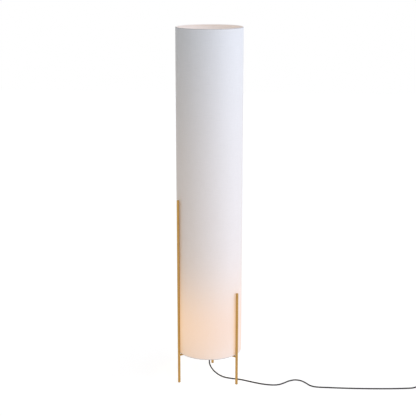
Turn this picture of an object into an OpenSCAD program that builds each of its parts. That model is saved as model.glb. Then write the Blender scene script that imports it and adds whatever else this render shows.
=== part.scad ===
// A column floor lamp. A tall fabric cylinder stands between three thin rods of different
// heights and rests on three arms, which meet in a hub just below it. The hub carries the
// lampholder and the lamp. The cord leaves below the hub, passes an in-line foot switch
// and ends in a plug. Millimetres. The origin is on the floor below the shade's axis,
// +Z is up and the rear leg stands toward +Y.

/* [Shade] */
// Outside diameter of the shade
shade_d = 240; // [180:5:360]
// Height of the shade
shade_h = 1200; // [500:10:1500]
// Thickness of the fabric skin
fabric_t = 0.6; // [0.4:0.1:1.2]
// Thickness of the plastic liner behind the fabric
liner_t = 0.6; // [0.4:0.1:1.2]
// Diameter of the wire in both rims
ring_wire_d = 3; // [2.5:0.5:5]
// Thickness of the hem tape that wraps each wire
hem_t = 0.6; // [0.4:0.1:1]
// Height of the hem tape's flap on the liner's inside
hem_h = 14; // [8:1:30]
// Width of the strip that backs the rear seam
seam_w = 16; // [8:1:30]
// Thickness of the seam strip
seam_t = 0.4; // [0.3:0.1:1]

/* [Legs] */
// Diameter of each leg
leg_d = 9.5; // [8:0.5:14]
// Height of the tall leg's top above the floor
tall_leg_h = 701; // [250:1:1200]
// Height of the rear leg's top above the floor
rear_leg_h = 525; // [250:1:1200]
// Height of the short leg's top above the floor
short_leg_h = 356; // [250:1:1200]
// Gap between the shade's skin and each leg
leg_gap = 3.5; // [1:0.5:12]
// Chamfer round each leg's top
leg_chamfer = 0.8; // [0.2:0.1:2]
// Thickness of the glide under each leg
glide_t = 1; // [1:0.5:5]
// Rim of the leg that shows round the glide
glide_inset = 0.5; // [0.1:0.1:1]
// Diameter of the glide's pin
glide_pin_d = 4; // [3:0.5:5]
// Length of the glide's pin
glide_pin_l = 8; // [4:1:15]

/* [Arms and hub] */
// Height of the shade's lower rim above the floor
rim_z = 112; // [95:1:220]
// Clearance between the rim and the arms that carry it
rim_clear = 0.3; // [0.1:0.1:1]
// Diameter of each arm
arm_d = 7; // [6:0.5:8]
// Length of arm held inside the hub
arm_grip = 14; // [10:1:16]
// Diameter of the stud that joins arm and leg
stud_d = 4; // [3:0.5:4.5]
// Length of stud inside the arm
stud_in_arm = 8; // [5:1:14]
// Metal left in the leg behind the stud
stud_back = 3; // [2:0.5:4]
// Diameter of the hub
hub_d = 56; // [50:1:90]
// Thickness of the hub
hub_t = 15; // [14:1:24]
// Chamfer round both hub edges
hub_chamfer = 1; // [0.5:0.5:3]
// Diameter of the grub screws that clamp the arms
grub_d = 4; // [3:0.5:5]
// Distance of each grub screw from the hub's edge
grub_inset = 7; // [5:0.5:8]
// Width across the flats of a grub screw's socket
grub_socket = 2; // [1.5:0.1:2.5]

/* [Cord entry] */
// Outside diameter of the threaded tube through the hub
tube_d = 10; // [9.5:0.5:13]
// Bore of the threaded tube
tube_bore = 7; // [6:0.5:8]
// Length of tube inside the gland and inside the lampholder cap
thread_l = 8; // [6:1:10]
// Width of the nuts across their flats
nut_af = 14; // [14:0.5:17]
// Thickness of the nuts
nut_t = 3.5; // [3:0.5:6]
// Diameter of the washers
washer_d = 18; // [17:1:24]
// Thickness of the washers
washer_t = 1.2; // [0.8:0.1:2]
// Diameter of the cord gland
gland_d = 16; // [15:0.5:20]
// Length of the gland's round body
gland_body_l = 12; // [11:1:20]
// Length of the gland's tapered nose
gland_nose_l = 18; // [14:1:24]
// Wall of the nose at its tip
nose_wall = 1.2; // [0.8:0.1:2]
// Width of each flex slot in a nose
slot_w = 1.4; // [1:0.1:2]
// How much narrower a nose starts than the body it grows from
nose_step = 2; // [1:0.5:4]
// Diameter of the cord
cord_d = 5; // [4:0.1:5.6]
// Diameter of one insulated core of the cord
core_d = 1.9; // [1.5:0.1:2]
// Gap between the two cores in the cord
core_gap = 0.1; // [0.1:0.1:0.4]
// Length of cord jacket that shows inside the lampholder cap
jacket_show = 3; // [1:0.5:4]

/* [Lampholder] */
// Outside diameter of the lampholder
holder_d = 40; // [38:1:46]
// Wall of the lampholder cap and body
holder_wall = 1.8; // [1.4:0.1:2.4]
// Height of the lampholder cap
cap_h = 24; // [22:1:34]
// Diameter of the cap's boss
cap_boss_d = 18; // [16:1:22]
// Height of the lampholder body
body_h = 36; // [34:1:50]
// Height over which the body screws onto the cap
body_lap = 5; // [3:1:8]
// Height of the cap's straight band above its flare
cap_band = 3; // [2:0.5:5]
// Rounding of the body's outer edges
holder_edge = 0.8; // [0.3:0.1:1]
// Thickness of the lip at the body's mouth
lip_t = 2; // [1.5:0.1:3]
// Height of the contact block
block_h = 10; // [8:1:14]
// Height of the threaded shell
shell_h = 18; // [14:1:18]
// Thickness of the threaded shell
shell_t = 0.5; // [0.3:0.1:0.8]
// Depth of the thread's ridges
thread_depth = 0.8; // [0.4:0.1:1]
// Pitch of the thread's ridges
thread_pitch = 3.6; // [3:0.1:4]
// Gap between the lamp's cap and the threaded shell
shell_gap = 0.4; // [0.3:0.1:0.8]
// Gap between the threaded shell and the body's mouth
shell_play = 0.4; // [0.2:0.1:1]
// Rise of the centre contact above the block
contact_rise = 4; // [3:0.5:6]
// Thickness of the centre contact strip
contact_t = 0.5; // [0.4:0.1:0.8]
// Width of the centre contact strip
contact_w = 5; // [3:0.5:7]
// Length of the strip's foot, of its ramp and of its pad below the lamp
contact_leg = 5; // [4:0.5:5]
// Depth of block left behind the terminal screws
block_floor = 2; // [1:0.5:4]
// Diameter of the terminal screws' heads
terminal_head_d = 5.5; // [4.5:0.5:6.5]
// Diameter of the terminal screws
terminal_d = 3; // [2.5:0.5:3.5]
// Height of the terminal screws' heads
terminal_head_h = 2.2; // [1.5:0.1:3]
// Distance of the terminal screws from the axis
terminal_r = 9; // [8:0.5:11]

/* [Lamp] */
// Diameter of the lamp's globe
lamp_d = 60; // [50:1:95]
// Length of the lamp from its tip contact to its top
lamp_l = 108; // [98:1:150]
// Diameter of the lamp's screw cap
screw_cap_d = 26.4; // [26:0.1:26.5]
// Height of the lamp's screw cap
screw_cap_h = 22; // [20:1:24]
// Height of the insulator below the screw cap
insulator_h = 3; // [2:0.5:5]
// Diameter of the tip contact
tip_d = 9; // [7:0.5:10]
// Height of the tip contact
tip_h = 1.5; // [1:0.1:2.5]
// Depth of the globe's wide end below its centre
globe_cut = 12; // [8:1:16]
// Wall of the globe and the housing
lamp_wall = 1.2; // [0.8:0.1:2]
// Thickness of the light board
board_t = 1.6; // [1:0.1:2.4]
// Width of the light chips on the board
chip_w = 3; // [2:0.5:5]
// Rise of the light chips above the board
chip_rise = 0.7; // [0.3:0.1:1.5]
// Distance of the light chips from the board's edge
chip_inset = 6; // [5:0.5:12]
// Step between the screw cap's lower edge and the insulator
insulator_step = 0.5; // [0.2:0.1:1]
// Gap under the lamp's tip contact
tip_gap = 0.2; // [0.1:0.1:0.5]

/* [Foot switch] */
// Diameter of the foot switch
switch_d = 66; // [66:1:80]
// Height of the case above the floor
switch_h = 22; // [22:1:26]
// Height of the joint between the case's halves, where the cord enters
split_z = 9; // [9:0.5:10]
// Wall of the case
case_wall = 2; // [1.6:0.1:2.2]
// Floor of the base
case_floor = 2.4; // [2:0.1:2.5]
// Radius of the cover's rounded shoulder
shoulder_r = 9; // [5:0.5:9]
// Chamfer round the base's lower edge
case_chamfer = 2; // [1:0.5:2.5]
// Height of the rubber feet
pad_t = 1.5; // [1:0.1:2]
// Diameter of the rubber feet
pad_d = 10; // [6:0.5:12]
// Distance of the rubber feet from the case's edge
pad_inset = 9; // [8:0.5:12]
// Diameter of the push button
button_d = 24; // [22:1:28]
// Gap round the push button
button_gap = 0.4; // [0.3:0.1:0.8]
// Rise of the push button above the case
button_rise = 5; // [4:0.5:7]
// Travel of the push button
button_travel = 3; // [2:0.5:3]
// Wall of the push button
button_wall = 1.8; // [1.4:0.1:2.2]
// Rounding of the push button's upper edge
button_round = 1.5; // [0.5:0.1:1.8]
// Width of the flange that keeps the button in
flange_w = 2; // [1.5:0.1:3]
// Thickness of that flange
flange_t = 1.5; // [1:0.1:2]
// Gap between that flange and the cover
stop_gap = 0.3; // [0.2:0.1:0.5]
// How much narrower than the contact ring the button's posts are
post_step = 0.8; // [0.4:0.1:1.2]
// Outside diameter of the return spring
spring_d = 8; // [6:0.5:8.5]
// Wire of the return spring
spring_wire = 0.8; // [0.6:0.1:1]
// Turns of the return spring
spring_turns = 5; // [3:1:7]
// Length of the contact block
module_l = 38; // [36:1:40]
// Width of the contact block
module_w = 20; // [18:1:22]
// Gap between the neutral core and the contact block
core_room = 0.4; // [0.2:0.1:0.6]
// Height of the contact block
module_h = 6.1; // [5.8:0.1:6.3]
// Depth of block left below its terminal screws
module_floor = 1; // [0.5:0.5:2]
// Distance of the contact block's terminal screws from its ends
module_terminal_inset = 5; // [4.5:0.5:6]
// Distance of the strips' outer ends from the contact block's ends
strip_inset = 1; // [0.5:0.5:1.5]
// Length of strip past each contact point
strip_past = 2; // [1.5:0.1:2.5]
// Diameter of the contact rivets
rivet_d = 2.4; // [2:0.1:3]
// Rise of the contact rivets above their strips
rivet_rise = 1.2; // [0.8:0.1:1.4]
// Thickness of the fixed contact strips
strip_t = 0.8; // [0.5:0.1:1]
// Width of the fixed contact strips
strip_w = 6; // [4:0.5:8]
// Distance of the contact points from the switch's axis
point_r = 7; // [6.5:0.1:7.5]
// Width of the moving contact ring
bridge_w = 3.6; // [3:0.1:4]
// Thickness of the moving contact ring
bridge_t = 0.6; // [0.4:0.1:1]
// Gap between the contacts when the button is down
closed_gap = 0.2; // [0.1:0.1:0.5]
// Diameter of the relief sleeves where they pass the case
relief_d = 9; // [8:0.5:9]
// Length of the relief sleeves outside the case
relief_l = 24; // [20:1:30]
// Width of the flange inside the case on each relief sleeve
relief_flange = 0.6; // [0.4:0.1:0.6]
// Thickness of that flange
relief_flange_t = 1.2; // [0.8:0.1:1.6]
// Length of each relief sleeve inside the case's wall
relief_grip = 2; // [1.6:0.1:2.5]
// Diameter of the case screws
case_screw_d = 3; // [2.5:0.5:3]
// Diameter of the case screws' heads
case_screw_head_d = 5.6; // [5:0.1:6]
// Length of each stroke of the screws' cross recess
recess_l = 3; // [2.5:0.1:3.5]
// Width of the cross recess
recess_w = 0.6; // [0.4:0.1:1]
// Depth of the case screws' heads in the base
case_screw_sink = 1.4; // [1:0.1:1.6]
// Length of the case screws
case_screw_l = 12; // [8:1:13]
// Distance of the case screws from the case's edge
case_screw_inset = 8; // [7.5:0.5:9]
// Diameter of the cover's screw bosses
boss_d = 7; // [6:0.5:8]
// Length of each cord clamp along the cord
clamp_l = 4; // [3:0.5:5]
// Width of each cord clamp
clamp_w = 14; // [10:1:16]
// Gap between each cord clamp and its relief sleeve
clamp_gap = 1; // [0.5:0.1:1.5]
// Length of cord jacket past each clamp
jacket_past = 2; // [1:0.5:3]
// Cover of each cord clamp above the cord
clamp_over = 2.5; // [1.5:0.5:3.5]

/* [Plug] */
// Width of the plug
plug_w = 35; // [32:1:38]
// Thickness of the plug
plug_t = 13.6; // [12:0.2:15]
// Length of the plug's body
plug_l = 34; // [30:1:40]
// Length of the plug's straight sides
plug_straight = 13; // [8:1:18]
// Width of the plug's body at the cord
plug_tail_w = 15; // [13:1:18]
// Chamfer along the plug's long edges
plug_chamfer = 3; // [1:0.5:4]
// Length of the plug's bend relief
plug_relief_l = 20; // [20:1:30]
// Diameter of the pins
pin_d = 4; // [3.8:0.1:4.8]
// Length of the pins outside the plug
pin_l = 19; // [17:1:20]
// Distance between the pins
pin_pitch = 18.6; // [17.5:0.1:19]
// Length of pin inside the plug
pin_root = 9; // [6:1:12]
// Diameter of the pin inside the plug
pin_root_d = 3.4; // [3:0.1:3.7]
// Rounding of the pins' ends
pin_round = 1; // [0.4:0.1:1.5]

/* [Spare cord] */
// Distance between neighbouring turns of the coil
coil_pitch = 5.1; // [5.1:0.1:6]
// Radius at which the cord enters the coil
coil_entry_r = 38.5; // [36:0.5:44]
// Turns in each layer of the coil
coil_turns = 3; // [2:1:3]
// Room that the coil's solid leaves round its turns
coil_margin = 0.5; // [0.2:0.1:1]
// Thickness of the tie round the coil
tie_t = 1; // [0.6:0.1:1.5]
// Width of the tie
tie_w = 8; // [5:1:14]

/* [Hidden] */

$fn = 72;
// How far a cutting shape runs past the face it cuts
cut = 1;
brass = [0.78, 0.62, 0.36];
steel = [0.72, 0.72, 0.72];
black = [0.08, 0.08, 0.08];
white = [0.93, 0.93, 0.91];

// Angles of the legs round the shade's axis, from +X
TALL_ANGLE = 214;
REAR_ANGLE = 90;
SHORT_ANGLE = 327.5;
LEG_ANGLES = [TALL_ANGLE, REAR_ANGLE, SHORT_ANGLE];

shade_r = shade_d / 2;
leg_r = shade_r + leg_gap + leg_d / 2;
arm_z = rim_z - rim_clear - arm_d / 2;
stud_in_leg = leg_d - stud_back;
hub_low = arm_z - hub_t / 2;
hub_top = arm_z + hub_t / 2;
grub_r = hub_d / 2 - grub_inset;
gland_top = hub_low - washer_t - nut_t;
gland_low = gland_top - gland_body_l - gland_nose_l;
holder_z = hub_top + washer_t + nut_t;

// Shade: the rolled rims, then the skins between them
roll_r = ring_wire_d / 2 + hem_t;
ring_r = shade_r - roll_r;
liner_in_r = shade_r - fabric_t - liner_t;
shade_top = rim_z + shade_h;
liner_low = rim_z + hem_t + ring_wire_d;

// Lampholder heights
cap_r = holder_d / 2 - holder_wall;
block_z = holder_z + cap_h;
shell_z = block_z + block_h;
body_z = block_z - body_lap;
core_y = (core_d + core_gap) / 2;
jacket_top = holder_z + thread_l + jacket_show;

// Lamp heights
tip_z = shell_z + contact_rise + tip_gap;
insulator_z = tip_z + tip_h;
screw_cap_z = insulator_z + insulator_h;
housing_z = screw_cap_z + screw_cap_h;
globe_z = tip_z + lamp_l - lamp_d / 2;
globe_cut_z = globe_z - globe_cut;
globe_cut_r = sqrt(pow(lamp_d / 2, 2) - pow(globe_cut, 2));

// Foot switch: its place on the floor beside the lamp, and its levels
switch_x = 847;
switch_y = -45;
switch_r = switch_d / 2;
case_inside = pad_t + case_floor;
roof_z = switch_h - case_wall;
module_top = case_inside + module_h;
rivet_top = module_top + strip_t + rivet_rise;
bridge_z = rivet_top + closed_gap + button_travel;
button_top = switch_h + button_rise;
button_ceiling = button_top - button_wall;
strip_in = point_r - strip_past;
strip_out = module_l / 2 - strip_inset;
case_terminal_x = module_l / 2 - module_terminal_inset;
relief_in = switch_r - case_wall - relief_grip;
clamp_x = relief_in - clamp_gap - clamp_l;
jacket_end = clamp_x - jacket_past;
relief_end = switch_r + relief_l;

// Spare cord and plug
cord_r = cord_d / 2;
coil_x = 965;
coil_y = switch_y + coil_entry_r;
coil_low = tie_t;
coil_high = tie_t + coil_pitch + cord_d + coil_margin;
coil_in_r = coil_entry_r - coil_pitch * (coil_turns + 0.5) - cord_r - coil_margin;
coil_out_r = coil_entry_r + cord_r + coil_margin;
coil_exit_r = coil_entry_r - coil_pitch / 2;
plug_tip_x = 938;
plug_y = coil_y + coil_exit_r;
plug_z = plug_t / 2;
plug_back_x = plug_tip_x - plug_relief_l;
plug_face_x = plug_back_x - plug_l;

// The cord's route from the gland down to the floor, behind the short leg and to the switch
CORD_ROUTE = [
    [0, 0, gland_low], [0, 0, gland_low - 9], [1, 0, 48.5], [5, -1, 38.5], [12, -3, 28.5],
    [22, -6, 19], [36, -10, 10.4], [52, -15, 5], [70, -20.5, 3], [93, -25.5, 2.6],
    [120, -31, 2.55], [150, -43, 2.55], [180, -56, 2.55], [210, -66, 2.55], [240, -70, 2.55],
    [264, -65, 2.55], [284, -48, 2.55], [303, -27, 2.55], [325, -15, 2.55], [347, -20, 2.55],
    [364, -37, 2.55], [382, -61, 2.55], [405, -72, 2.55], [445, -73, 2.55], [495, -73, 2.55],
    [555, -71, 2.55], [615, -67, 2.55], [675, -61, 2.55], [725, -54, 2.75], [757, -49, 3.8],
    [774, -45.5, 7.5], [786, switch_y, split_z], [switch_x - relief_end, switch_y, split_z]
];
// From the switch into the coil, and from the coil's upper layer to the plug
LEAD_ROUTE = [
    [switch_x + relief_end, switch_y, split_z], [908, switch_y, split_z], [918, switch_y, 7.8],
    [930, switch_y, 5], [943, switch_y, 3.6], [960, switch_y, 3.5]
];
TAIL_ROUTE = [
    [960, plug_y, 8.5], [950, plug_y, 7.4], [942, plug_y, plug_z], [plug_tip_x, plug_y, plug_z]
];

// Points along a smooth curve through a route, about three cord diameters apart
function curve(p0, p1, p2, p3, t) = 0.5 * (2 * p1 + (p2 - p0) * t
    + (2 * p0 - 5 * p1 + 4 * p2 - p3) * t * t + (3 * p1 - p0 - 3 * p2 + p3) * t * t * t);
function at(route, i) = i < 0 ? 2 * route[0] - route[1]
    : i >= len(route) ? 2 * route[len(route) - 1] - route[len(route) - 2] : route[i];
function steps(a, b) = max(1, round(norm(b - a) / (3 * cord_d)));
function smooth(route) = concat([for (i = [0 : len(route) - 2])
    let (n = steps(route[i], route[i + 1])) for (k = [0 : n - 1])
    curve(at(route, i - 1), route[i], route[i + 1], at(route, i + 2), k / n)],
    [route[len(route) - 1]]);

// A closed skin over rings that hold the same number of points
module skin(rings) {
    sides = len(rings[0]);
    last = len(rings) - 1;
    polyhedron(
        points = [for (ring = rings) each ring],
        faces = concat(
            [[for (k = [0 : sides - 1]) k]],
            [for (i = [0 : last - 1], k = [0 : sides - 1]) let (n = (k + 1) % sides)
                [i * sides + k, (i + 1) * sides + k, (i + 1) * sides + n, i * sides + n]],
            [[for (k = [sides - 1 : -1 : 0]) last * sides + k]]
        )
    );
}

// A ring of points round p in the plane of two unit directions
function ring_at(p, r, u, v, sides) = [for (k = [0 : sides - 1]) let (a = k * 360 / sides)
    p + r * (cos(a) * u + sin(a) * v)];
function unit(v) = v / norm(v);
function run(points, i) = unit(at(points, i + 1) - at(points, i - 1));

// A tube of radius r along the points, with its ends square to its ends' runs. No run may
// point along the direction ACROSS.
ACROSS = [0.02, 1, 0];
module tube_along(points, r, sides = 10) {
    skin([for (i = [0 : len(points) - 1]) let (t = run(points, i), u = unit(cross(t, ACROSS)))
        ring_at(points[i], r, u, cross(u, t), sides)]);
}

// A level tube, which may turn through any angle seen from above
module level_tube(points, r, sides = 8) {
    skin([for (i = [0 : len(points) - 1]) let (t = run(points, i))
        ring_at(points[i], r, [t[1], -t[0], 0], [0, 0, 1], sides)]);
}

// A wire along a rising helix about the Z axis
module helix_wire(points, r, sides = 6) {
    skin([for (p = points) ring_at(p, r, unit([p[0], p[1], 0]), [0, 0, 1], sides)]);
}

module at_legs() {
    for (a = LEG_ANGLES) rotate([0, 0, a]) children();
}

module hex_prism(af, h) {
    cylinder(h = h, d = af / cos(30), $fn = 6);
}

module ring_plate(od, id, h) {
    difference() {
        cylinder(h = h, d = od);
        translate([0, 0, -cut]) cylinder(h = h + 2 * cut, d = id);
    }
}

// ---- Legs, arms and hub ----

module leg(angle, h) {
    color(brass) rotate([0, 0, angle]) translate([leg_r, 0, 0]) difference() {
        union() {
            translate([0, 0, glide_t]) cylinder(h = h - glide_t - leg_chamfer, d = leg_d);
            translate([0, 0, h - leg_chamfer])
                cylinder(h = leg_chamfer, d1 = leg_d, d2 = leg_d - 2 * leg_chamfer);
        }
        translate([0, 0, glide_t - cut]) cylinder(h = glide_pin_l + cut, d = glide_pin_d);
        translate([-leg_d, 0, arm_z]) rotate([0, 90, 0])
            cylinder(h = leg_d / 2 + stud_in_leg, d = stud_d);
    }
}

module leg_tall() { leg(TALL_ANGLE, tall_leg_h); }
module leg_rear() { leg(REAR_ANGLE, rear_leg_h); }
module leg_short() { leg(SHORT_ANGLE, short_leg_h); }

module leg_glides() {
    color([0.35, 0.28, 0.2]) at_legs() translate([leg_r, 0, 0]) {
        cylinder(h = glide_t, d = leg_d - 2 * glide_inset);
        cylinder(h = glide_t + glide_pin_l, d = glide_pin_d);
    }
}

// The arm's outer end is coped to the leg, its inner end sits in the hub
module arm(angle) {
    start = hub_d / 2 - arm_grip;
    color(brass) rotate([0, 0, angle]) difference() {
        translate([start, 0, arm_z]) rotate([0, 90, 0]) cylinder(h = leg_r - start, d = arm_d);
        translate([leg_r, 0, arm_z - arm_d]) cylinder(h = 2 * arm_d, d = leg_d);
        translate([leg_r - leg_d / 2 - stud_in_arm, 0, arm_z]) rotate([0, 90, 0])
            cylinder(h = leg_d + stud_in_arm, d = stud_d);
    }
}

module arm_tall() { arm(TALL_ANGLE); }
module arm_rear() { arm(REAR_ANGLE); }
module arm_short() { arm(SHORT_ANGLE); }

module arm_studs() {
    color(steel) at_legs() translate([leg_r - leg_d / 2 - stud_in_arm, 0, arm_z])
        rotate([0, 90, 0]) cylinder(h = stud_in_arm + stud_in_leg, d = stud_d);
}

module hub_disc() {
    r = hub_d / 2;
    color(brass) difference() {
        translate([0, 0, hub_low]) rotate_extrude() polygon([
            [0, 0], [r - hub_chamfer, 0], [r, hub_chamfer], [r, hub_t - hub_chamfer],
            [r - hub_chamfer, hub_t], [0, hub_t]
        ]);
        translate([0, 0, hub_low - cut]) cylinder(h = hub_t + 2 * cut, d = tube_d);
        at_legs() {
            translate([r - arm_grip, 0, arm_z]) rotate([0, 90, 0])
                cylinder(h = arm_grip + cut, d = arm_d);
            translate([grub_r, 0, hub_low - cut]) cylinder(h = arm_z - hub_low + cut, d = grub_d);
        }
    }
}

module hub_grub_screws() {
    length = (hub_t - arm_d) / 2;
    color(steel) at_legs() translate([grub_r, 0, hub_low]) difference() {
        cylinder(h = length, d = grub_d);
        translate([0, 0, -cut]) hex_prism(grub_socket, cut + length / 2);
    }
}

// ---- Cord entry ----

module entry_tube() {
    low = gland_top - thread_l;
    color(brass) translate([0, 0, low]) ring_plate(tube_d, tube_bore, holder_z + thread_l - low);
}

module tube_nuts() {
    color(brass) for (z = [hub_low - washer_t - nut_t, hub_top + washer_t])
        translate([0, 0, z]) difference() {
            hex_prism(nut_af, nut_t);
            translate([0, 0, -cut]) cylinder(h = nut_t + 2 * cut, d = tube_d);
        }
}

module tube_washers() {
    color(steel) for (z = [hub_low - washer_t, hub_top])
        translate([0, 0, z]) ring_plate(washer_d, tube_d, washer_t);
}

// A sleeve that tapers along +Z from a wide end to its tip, with flex slots cut round it
module tapered_nose(length, wide_d, tip_wall, slots) {
    tip_d = cord_d + 2 * tip_wall;
    step = length / (slots + 1);
    difference() {
        cylinder(h = length, d1 = wide_d, d2 = tip_d);
        for (i = [1 : slots]) let (d = wide_d + (tip_d - wide_d) * i / (slots + 1))
            translate([0, 0, i * step - slot_w / 2]) ring_plate(2 * d, d - tip_wall, slot_w);
    }
}

module cord_gland() {
    color(black) difference() {
        union() {
            translate([0, 0, gland_top - gland_body_l]) cylinder(h = gland_body_l, d = gland_d);
            translate([0, 0, gland_top - gland_body_l]) mirror([0, 0, 1])
                tapered_nose(gland_nose_l, gland_d - nose_step, nose_wall, 4);
        }
        translate([0, 0, gland_top - thread_l]) cylinder(h = thread_l + cut, d = tube_d);
        translate([0, 0, gland_low - cut]) cylinder(h = gland_top - gland_low, d = cord_d);
    }
}

module cord_inner_end() {
    color(black) translate([0, 0, gland_low]) cylinder(h = jacket_top - gland_low, d = cord_d);
}

// One core from the jacket's end to the head of its terminal screw
module core(side) {
    head_z = block_z - terminal_head_h;
    straight = 1.5;
    tube_along(smooth([
        [side * core_y, 0, jacket_top], [side * core_y, 0, jacket_top + straight],
        [side * terminal_r / 2, 0, (jacket_top + head_z) / 2],
        [side * terminal_r, 0, head_z - straight], [side * terminal_r, 0, head_z]
    ]), core_d / 2, 8);
}

module live_wire() { color([0.4, 0.22, 0.12]) core(1); }
module neutral_wire() { color([0.12, 0.25, 0.55]) core(-1); }

// ---- Lampholder ----

// Zigzag that stands for a round thread, from the bottom up, crests at radius r
function ridges(r, h) = [for (i = [0 : floor(2 * h / thread_pitch)])
    [i % 2 == 0 ? r - thread_depth : r, min(h, i * thread_pitch / 2)]];
// The same line for the ring that surrounds it, crests at radius r
function grooves(r, h) = [for (i = [0 : floor(2 * h / thread_pitch)])
    [i % 2 == 0 ? r + thread_depth : r, min(h, i * thread_pitch / 2)]];
function backwards(list) = [for (i = [len(list) - 1 : -1 : 0]) list[i]];
function outward(list, t) = [for (p = list) [p[0] + t, p[1]]];

module holder_cap() {
    boss = cap_boss_d / 2;
    flare = cap_h - body_lap - cap_band;
    color(white) translate([0, 0, holder_z]) rotate_extrude() polygon([
        [tube_d / 2, 0], [boss, 0], [cap_r, flare], [cap_r, cap_h],
        [cap_r - holder_wall, cap_h], [cap_r - holder_wall, flare + holder_wall / 2],
        [boss, thread_l / 2], [boss - holder_wall, thread_l], [tube_d / 2, thread_l]
    ]);
}

module holder_body() {
    r = holder_d / 2;
    mouth = screw_cap_d / 2 + shell_gap + thread_depth + shell_t + shell_play;
    color(white) translate([0, 0, body_z]) rotate_extrude() polygon([
        [cap_r, 0], [r - holder_edge, 0], [r, holder_edge], [r, body_h - holder_edge],
        [r - holder_edge, body_h], [mouth, body_h], [mouth, body_h - lip_t],
        [cap_r, body_h - lip_t]
    ]);
}

module holder_contact_block() {
    color([0.9, 0.88, 0.83]) translate([0, 0, block_z]) difference() {
        cylinder(h = block_h, r = cap_r);
        for (s = [-1, 1]) translate([s * terminal_r, 0, -cut])
            cylinder(h = cut + block_h - block_floor, d = terminal_d);
    }
}

module holder_thread_shell() {
    line = grooves(screw_cap_d / 2 + shell_gap, shell_h);
    color([0.8, 0.7, 0.4]) translate([0, 0, shell_z]) rotate_extrude()
        polygon(concat(line, backwards(outward(line, shell_t))));
}

// A strip of even thickness: a foot on the block, a ramp, and a pad on the lamp's axis
module holder_centre_contact() {
    pad = contact_rise - contact_t;
    bend = contact_t / 2 * tan(atan(pad / contact_leg) / 2);
    ramp_end = -contact_leg / 2;
    foot_end = ramp_end - contact_leg;
    color([0.8, 0.7, 0.4]) translate([0, contact_w / 2, shell_z]) rotate([90, 0, 0])
        linear_extrude(contact_w) polygon([
            [foot_end - contact_leg, 0], [foot_end + bend, 0], [ramp_end + bend, pad],
            [-ramp_end, pad], [-ramp_end, contact_rise], [ramp_end - bend, contact_rise],
            [foot_end - bend, contact_t], [foot_end - contact_leg, contact_t]
        ]);
}

module holder_terminal_screws() {
    color(steel) for (s = [-1, 1]) translate([s * terminal_r, 0, block_z]) {
        translate([0, 0, -terminal_head_h]) cylinder(h = terminal_head_h, d = terminal_head_d);
        cylinder(h = block_h - block_floor, d = terminal_d);
    }
}

// ---- Lamp ----

module bulb_diffuser() {
    color([0.97, 0.93, 0.86]) translate([0, 0, globe_z]) rotate_extrude() difference() {
        circle(d = lamp_d);
        circle(d = lamp_d - 2 * lamp_wall);
        translate([-lamp_d, -lamp_d]) square([lamp_d, 2 * lamp_d]);
        translate([-cut, -lamp_d]) square([lamp_d, lamp_d - globe_cut]);
    }
}

module bulb_housing() {
    low = screw_cap_d / 2;
    h = globe_cut_z - housing_z;
    color(white) translate([0, 0, housing_z]) difference() {
        cylinder(h = h, r1 = low, r2 = globe_cut_r);
        translate([0, 0, lamp_wall])
            cylinder(h = h, r1 = low - lamp_wall, r2 = globe_cut_r - lamp_wall);
    }
}

module bulb_light_board() {
    r = globe_cut_r - 2 * lamp_wall;
    color([0.85, 0.85, 0.8]) translate([0, 0, globe_cut_z - board_t]) {
        cylinder(h = board_t, r1 = r - board_t, r2 = r);
        for (a = [0 : 45 : 315]) rotate([0, 0, a])
            translate([r - chip_inset - chip_w, -chip_w / 2, board_t / 2])
                cube([chip_w, chip_w, board_t / 2 + chip_rise]);
    }
}

module bulb_screw_cap() {
    r = screw_cap_d / 2;
    line = ridges(r, screw_cap_h);
    color(steel) translate([0, 0, screw_cap_z]) rotate_extrude() polygon(concat(
        [[0, 0]], line, [[r - thread_depth, screw_cap_h], [0, screw_cap_h]]
    ));
}

module bulb_cap_insulator() {
    color(black) translate([0, 0, insulator_z])
        cylinder(h = insulator_h, d1 = tip_d, d2 = screw_cap_d - 2 * (thread_depth + insulator_step));
}

module bulb_tip_contact() {
    color(steel) translate([0, 0, tip_z]) cylinder(h = tip_h, d1 = tip_d - 2 * tip_h, d2 = tip_d);
}

// ---- Shade ----

module shade_sheet(outer, thick, low, high) {
    translate([0, 0, low]) ring_plate(2 * outer, 2 * (outer - thick), high - low);
}

module shade_fabric() {
    color([0.96, 0.95, 0.94])
        shade_sheet(shade_r, fabric_t, rim_z + roll_r, shade_top - roll_r);
}

module shade_liner() {
    color([0.95, 0.93, 0.9]) shade_sheet(shade_r - fabric_t, liner_t, liner_low,
        shade_top - hem_t - ring_wire_d);
}

module wire_ring(z) {
    color(steel) translate([0, 0, z]) rotate_extrude() translate([ring_r, 0])
        circle(d = ring_wire_d);
}

module shade_bottom_ring() { wire_ring(rim_z + roll_r); }
module shade_top_ring() { wire_ring(shade_top - roll_r); }

// Points on an arc about centre c from angle a to angle b, or just outside it if wide
function arc(c, r, a, b, wide = false, n = 24) = let (out = wide ? r / cos((b - a) / n / 2) : r)
    [for (i = [0 : n]) c + out * [cos(a + (b - a) * i / n), sin(a + (b - a) * i / n)]];

// The lower rim's tape: rolled round the wire from the fabric's edge, then up the liner's inside
module hem() {
    c = [ring_r, roll_r];
    wire_r = ring_wire_d / 2;
    flap_in = liner_in_r - hem_t;
    flap_low = liner_low - rim_z;
    color([0.95, 0.94, 0.93]) rotate_extrude() polygon(concat(
        arc(c, roll_r, 0, acos((flap_in - ring_r) / roll_r) - 360),
        [[flap_in, flap_low + hem_h], [liner_in_r, flap_low + hem_h], [liner_in_r, flap_low]],
        arc(c, wire_r, acos((liner_in_r - ring_r) / wire_r), 360, true)
    ));
}

module shade_bottom_hem() { translate([0, 0, rim_z]) hem(); }
module shade_top_hem() { translate([0, 0, shade_top]) mirror([0, 0, 1]) hem(); }

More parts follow.
